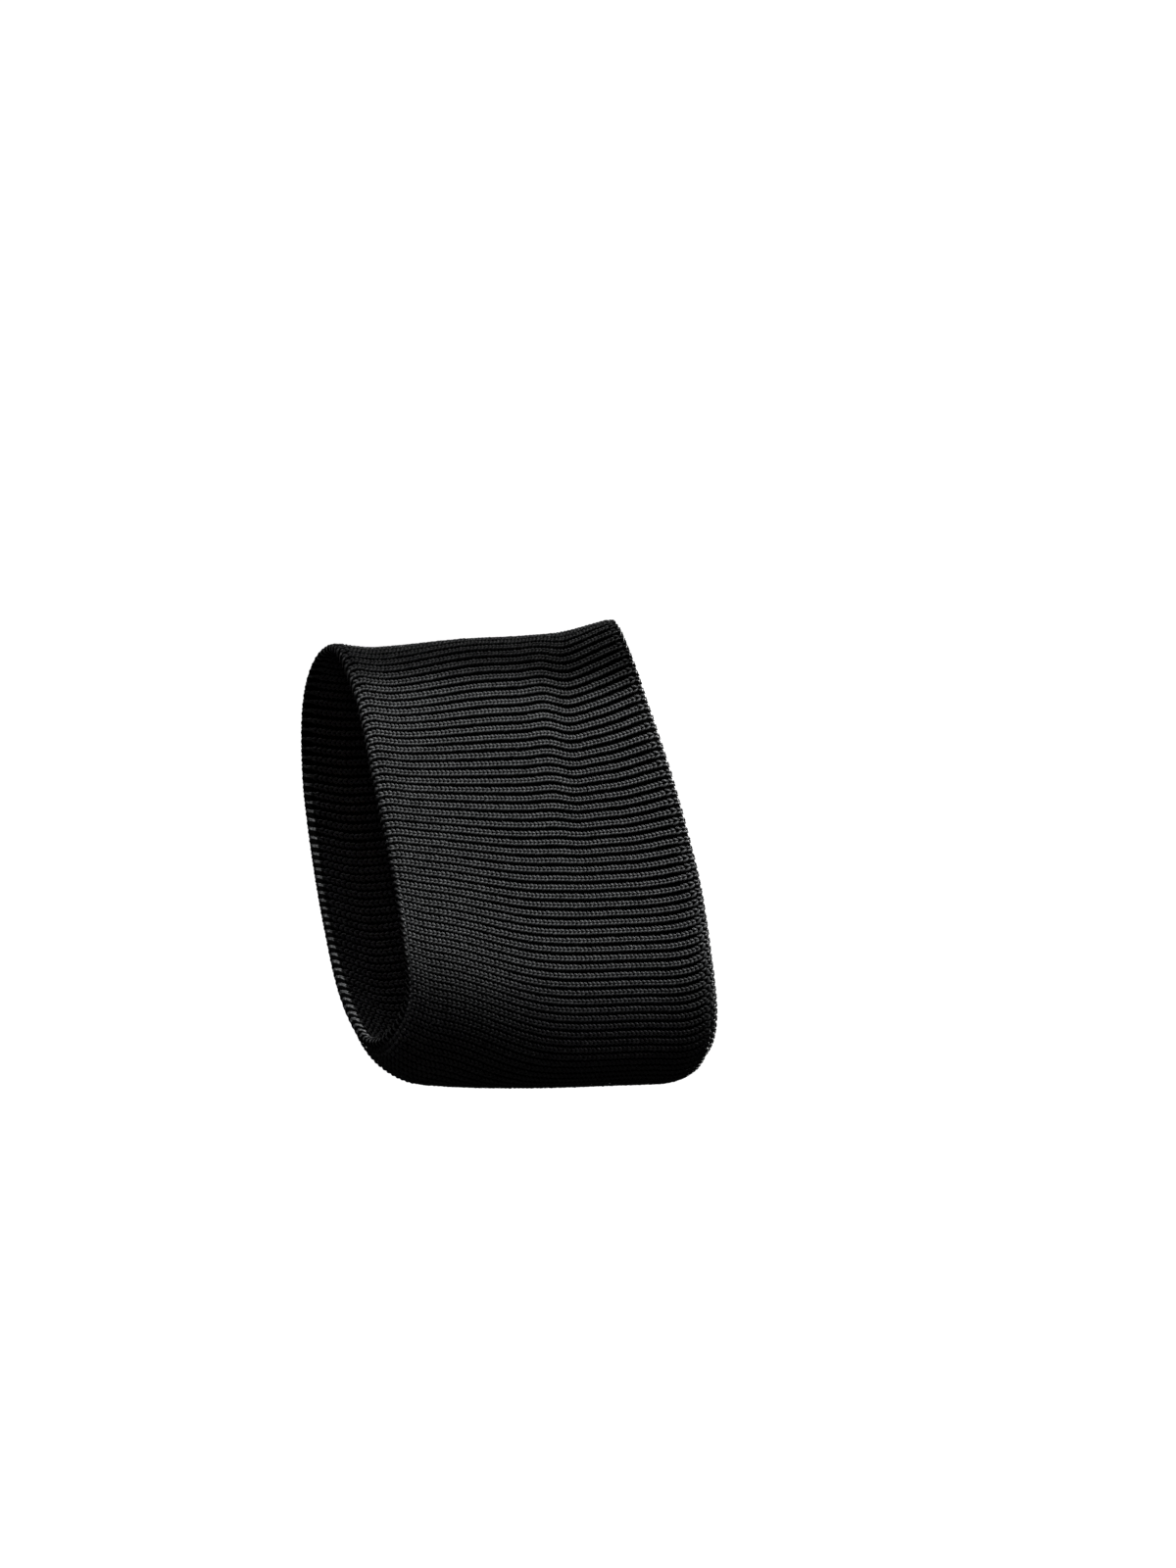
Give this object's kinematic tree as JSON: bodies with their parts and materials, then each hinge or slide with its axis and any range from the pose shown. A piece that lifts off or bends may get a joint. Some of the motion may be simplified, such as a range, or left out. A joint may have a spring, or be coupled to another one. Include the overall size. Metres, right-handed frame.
{
  "type": "boxing knuckle guard",
  "caption": "Elastic rib-knit sleeve worn round the palm under a boxing glove, with folded rims and a foam pad in its doubled wall over the knuckles.",
  "frame": {"origin": "middle of the hollow that the hand goes through", "axes": "+X along the hand from the fingers to the wrist, +Z to the index finger's edge, +Y to the knuckles"},
  "size_m": [0.0949, 0.0435, 0.1069],
  "materials": {
    "elastic_rib_knit": "matte black rib knit of polyester and elastic yarn",
    "padding_foam": "matte closed-cell foam"
  },
  "bodies": {
    "root": {"knit_sleeve": "elastic_rib_knit", "knuckle_pad": "padding_foam"}
  },
  "joints": []
}
